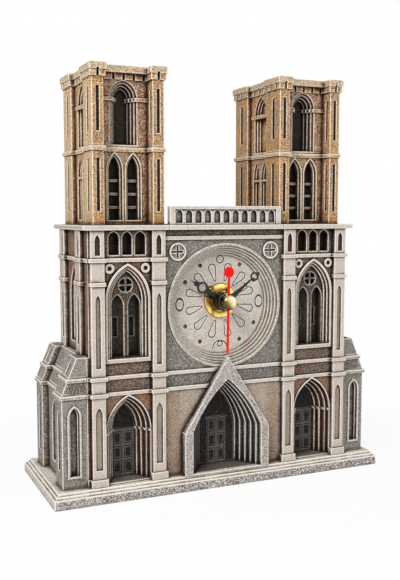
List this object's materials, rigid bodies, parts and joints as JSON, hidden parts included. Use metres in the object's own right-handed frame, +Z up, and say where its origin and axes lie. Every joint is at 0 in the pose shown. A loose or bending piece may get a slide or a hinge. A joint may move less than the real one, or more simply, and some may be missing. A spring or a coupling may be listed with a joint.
{
  "type": "desk clock",
  "caption": "Cast desk clock in the shape of a Gothic church front with towers, a gallery, portals and a round relief dial; quartz movement with three centre hands.",
  "frame": {"origin": "middle of the slab's underside, at table height", "axes": "+X to the viewer's right as one faces the dial, +Y from the dial towards the back, +Z up"},
  "size_m": [0.1736, 0.0655, 0.2002],
  "materials": {
    "cast_slab": "painted cast stone, matt, rubbed pale on its edges",
    "cast_bay": "painted cast stone, matt, dark wash in the recesses",
    "cast_front": "painted cast stone, matt, dark wash in the recesses",
    "cast_dial": "painted cast stone, matt grey",
    "cast_tower": "painted cast stone, matt ochre",
    "cast_buttress": "painted cast stone, matt grey",
    "door_paint": "painted cast stone, dark brown",
    "case_plastic": "black, fine grain",
    "cover_plastic": "black, fine grain",
    "gasket_rubber": "black",
    "washer_brass": "polished",
    "cap_brass": "polished",
    "hand_black": "satin black",
    "hand_red": "satin red",
    "collar_steel": "bright",
    "gear_plastic": "natural, moulded",
    "gear_brass": "cut brass",
    "steel": "bare",
    "bobbin_plastic": "natural",
    "winding_copper": "enamelled copper wire",
    "board_green": "solder mask",
    "chip_black": "epoxy blob",
    "contact_nickel": "nickel plate",
    "cell_jacket": "plain printed jacket",
    "knob_plastic": "black, ribbed"
  },
  "bodies": {
    "case": {"base_plinth": "cast_slab", "bay_right": "cast_bay", "bay_left": "cast_bay", "side_door_right": "door_paint", "side_door_left": "door_paint", "centre_wall": "cast_front", "dial": "cast_dial", "porch": "cast_front", "centre_doors": "door_paint", "buttress_right": "cast_buttress", "buttress_left": "cast_buttress", "gallery": "cast_front", "tower_right": "cast_tower", "tower_left": "cast_tower", "movement_case": "case_plastic", "movement_cover": "cover_plastic", "gasket": "gasket_rubber", "dress_washer": "washer_brass", "bush_nut": "washer_brass", "cell": "cell_jacket", "contact_right": "contact_nickel", "contact_left": "contact_nickel", "stator": "steel", "coil_bobbin": "bobbin_plastic", "coil_winding": "winding_copper", "circuit_board": "board_green", "chip": "chip_black", "quartz_crystal": "steel"},
    "seconds": {"seconds_wheel": "gear_plastic", "second_hand": "hand_red", "hand_cap": "cap_brass"},
    "centre": {"centre_wheel": "gear_brass", "minute_hand": "hand_black", "hand_collar": "collar_steel"},
    "hour": {"hour_wheel": "gear_plastic", "hour_hand": "hand_black"},
    "third": {"third_wheel": "gear_plastic"},
    "intermediate": {"intermediate_wheel": "gear_plastic"},
    "rotor_body": {"rotor": "steel"},
    "minute_work": {"minute_wheel": "gear_plastic"},
    "setting": {"setting_knob": "knob_plastic"}
  },
  "joints": [
    {"name": "second_hand_turn", "type": "hinge", "parent": "case", "child": "seconds", "pos_m": [0, -0.01, 0.0903], "axis": [0, 1, 0], "continuous": true},
    {"name": "minute_hand_turn", "type": "hinge", "parent": "case", "child": "centre", "pos_m": [0, -0.01, 0.0903], "axis": [0, 1, 0], "continuous": true},
    {"name": "hour_hand_turn", "type": "hinge", "parent": "case", "child": "hour", "pos_m": [0, -0.01, 0.0903], "axis": [0, 1, 0], "continuous": true},
    {"name": "third_wheel_turn", "type": "hinge", "parent": "case", "child": "third", "pos_m": [0, -0.01, 0.09822], "axis": [0, 1, 0], "continuous": true},
    {"name": "intermediate_wheel_turn", "type": "hinge", "parent": "case", "child": "intermediate", "pos_m": [-0.00792, -0.01, 0.0903], "axis": [0, 1, 0], "continuous": true},
    {"name": "rotor_turn", "type": "hinge", "parent": "case", "child": "rotor_body", "pos_m": [-0.01336, -0.01, 0.09574], "axis": [0, 1, 0], "continuous": true},
    {"name": "minute_wheel_turn", "type": "hinge", "parent": "case", "child": "minute_work", "pos_m": [0.0072, -0.01, 0.0903], "axis": [0, 1, 0], "continuous": true},
    {"name": "setting_knob_turn", "type": "hinge", "parent": "case", "child": "setting", "pos_m": [0.01229, -0.01, 0.09539], "axis": [0, 1, 0], "continuous": true}
  ],
  "couplings": [
    {"joint": "intermediate_wheel_turn", "follows": "second_hand_turn", "ratio": -5},
    {"joint": "rotor_turn", "follows": "second_hand_turn", "ratio": 30},
    {"joint": "third_wheel_turn", "follows": "second_hand_turn", "ratio": -0.125},
    {"joint": "minute_hand_turn", "follows": "second_hand_turn", "ratio": 0.016667},
    {"joint": "minute_wheel_turn", "follows": "second_hand_turn", "ratio": -0.0055556},
    {"joint": "hour_hand_turn", "follows": "second_hand_turn", "ratio": 0.0013889},
    {"joint": "setting_knob_turn", "follows": "second_hand_turn", "ratio": 0.016667}
  ]
}
